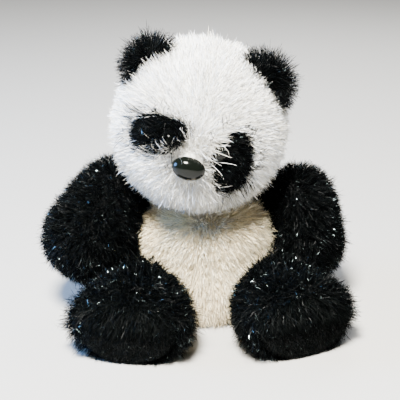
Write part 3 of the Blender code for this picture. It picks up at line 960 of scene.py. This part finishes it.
def polished_dome(node, washer):
    """A button of polished plastic with its shank, turned about the CAD button's own axis."""
    points = corners(node)
    centre = points.mean(axis=0)
    axis = unit(centre - corners(washer).mean(axis=0))
    along = (points - centre) @ axis
    flat = points - centre - along[:, None] * axis
    spread = np.linalg.svd(flat, full_matrices=False)[2]
    wide, high = spread[0], np.cross(axis, spread[0])
    half_width = np.abs(flat @ wide).max()
    half_height = np.abs(flat @ high).max()
    rim = along[np.linalg.norm(flat, axis=1) > 0.85 * min(half_width, half_height)].min()
    top = along.max()
    tail = along.min()
    shank = np.linalg.norm(flat[along < tail + 1 * MM], axis=1).max()
    steps, turns = 20, 64
    brim = rim + 0.4 * MM
    neck = shank / half_width
    profile = [(neck, tail, False), (neck, rim, False), (0.94, rim, True)]
    profile += [
        (math.cos(a) ** DOME_POWER, brim + (top - brim) * math.sin(a), True)
        for a in (math.pi / 2 * k / steps for k in range(steps))
    ]
    rings = []
    for radius, rise, domed in profile:
        tall = half_height if domed else half_width
        rings.append([
            centre + axis * rise + wide * half_width * radius * math.cos(t)
            + high * tall * radius * math.sin(t)
            for t in (math.tau * k / turns for k in range(turns))
        ])
    verts = [centre + axis * tail] + [v for ring in rings for v in ring] + [centre + axis * top]
    faces = []
    for k in range(turns):
        faces.append((0, 1 + (k + 1) % turns, 1 + k))
        last = 1 + (len(rings) - 1) * turns
        faces.append((last + k, last + (k + 1) % turns, len(verts) - 1))
        for row in range(len(rings) - 1):
            a = 1 + row * turns + k
            b = 1 + row * turns + (k + 1) % turns
            faces.append((a, b, b + turns, a + turns))
    mesh = bpy.data.meshes.new(node + "_polished")
    mesh.from_pydata([tuple(v) for v in verts], [], faces)
    mesh.materials.append(GLOSS)
    mesh.shade_smooth()
    mesh.set_sharp_from_angle(angle=math.radians(50))
    obj = placed(node + "_polished", mesh)
    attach(obj, "head")
    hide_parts(node)


BUTTONS = {"nose": "nose_washer", "eye_left": "eye_washer_left", "eye_right": "eye_washer_right"}
for button, washer in BUTTONS.items():
    polished_dome(button, washer)


# ---- care label ----
def label_frame():
    """The CAD label's middle, its size, and its axes: away from the toy, across, and downwards."""
    points = corners("care_label")
    centre = points.mean(axis=0)
    away, across, down = np.linalg.svd(points - centre, full_matrices=False)[2]
    if away @ (middle("torso_stuffing") - centre) > 0:
        away = -away
    if down[2] > 0:
        down = -down
    length = np.ptp((points - centre) @ away)
    width = np.ptp((points - centre) @ across)
    return centre, length, width, away, across, down


def label_surface(rows, columns):
    """Grid of points of the label, sewn in at its first row, and its length and width."""
    centre, length, width, away, across, down = label_frame()
    root = centre - away * length / 2
    points = []
    for i in range(rows + 1):
        free = i / rows
        for k in range(columns + 1):
            ripple = 0.25 * MM * math.sin(3 * math.pi * k / columns) * free
            place = root + away * length * free + across * width * (k / columns - 0.5)
            place = place + down * (2.2 * MM * free**2 + ripple)
            place[2] = max(place[2], 2 * FLOOR_CLEARANCE)
            points.append(tuple(place))
    return points, length, width


def satin_label():
    """The blank care label: a satin strip sewn in at its root, whose free end curls a little."""
    rows, columns = 24, 16
    points, length, width = label_surface(rows, columns)
    row = columns + 1
    faces = [
        (a, a + 1, a + row + 1, a + row)
        for i in range(rows) for k in range(columns) for a in [i * row + k]
    ]
    mesh = bpy.data.meshes.new("care_label_satin")
    mesh.from_pydata(points, [], faces)
    mesh.materials.append(
        cloth("label_satin", (0.90, 0.90, 0.88), (0.84, 0.84, 0.82), 1500, 0.2, 0.35)
    )
    mesh.materials.append(fibre("label_thread", (0.55, 0.55, 0.52), 0.6))
    for face in mesh.polygons:
        i, k = divmod(face.index, columns)
        sides = k in (1, columns - 2) and i % 2 == 0
        end = i == rows - 2 and k % 2 == 0
        face.material_index = 1 if sides or end else 0
    mesh.shade_smooth()
    label = placed("care_label_satin", mesh)
    label.modifiers.new("thickness", "SOLIDIFY").thickness = 0.25 * MM
    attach(label, "torso")
    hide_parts("care_label")


satin_label()


# ---- stage ----
def add_floor():
    mesh = bpy.data.meshes.new("floor")
    half = 8.0
    mesh.from_pydata(
        [(-half, -half, 0), (half, -half, 0), (half, half, 0), (-half, half, 0)], [], [(0, 1, 2, 3)]
    )
    mat, _, shader = new_material("pale_floor")
    shader.inputs["Base Color"].default_value = (0.44, 0.43, 0.41, 1)
    shader.inputs["Roughness"].default_value = 0.6
    mesh.materials.append(mat)
    floor = placed("floor", mesh)


def add_light(name, place, target, size, power, colour):
    data = bpy.data.lights.new(name, "AREA")
    data.shape = "DISK"
    data.size = size
    data.energy = power
    data.color = colour
    obj = placed(name, data)
    obj.location = place
    obj.rotation_euler = (Vector(target) - Vector(place)).to_track_quat("-Z", "Y").to_euler()


def add_camera():
    elevation = math.radians(21)
    distance = 0.62
    half_width = 0.128
    target = Vector((-0.003, -0.020, 0.081))
    data = bpy.data.cameras.new("camera")
    data.angle = 2 * math.atan(half_width / distance)
    data.clip_start = 0.01
    obj = placed("camera", data)
    obj.location = target + distance * Vector((0, -math.cos(elevation), math.sin(elevation)))
    obj.rotation_euler = (target - obj.location).to_track_quat("-Z", "Y").to_euler()
    bpy.context.scene.camera = obj


add_floor()
add_light("key", (-0.16, -0.58, 1.10), (0, 0, 0.12), 0.30, 136, (1.0, 0.97, 0.89))
add_light("cool_side", (-0.95, -0.08, 0.40), (0, 0, 0.09), 0.5, 32, (0.20, 0.46, 1.0))
add_light("back", (0.25, 0.80, 0.75), (0, 0, 0.10), 0.6, 9, (0.95, 0.97, 1.0))
world = bpy.data.worlds.new("soft_sky")
world.use_nodes = True
world.node_tree.nodes["Background"].inputs["Color"].default_value = (0.80, 0.83, 0.88, 1)
world.node_tree.nodes["Background"].inputs["Strength"].default_value = 0.08
bpy.context.scene.world = world
add_camera()
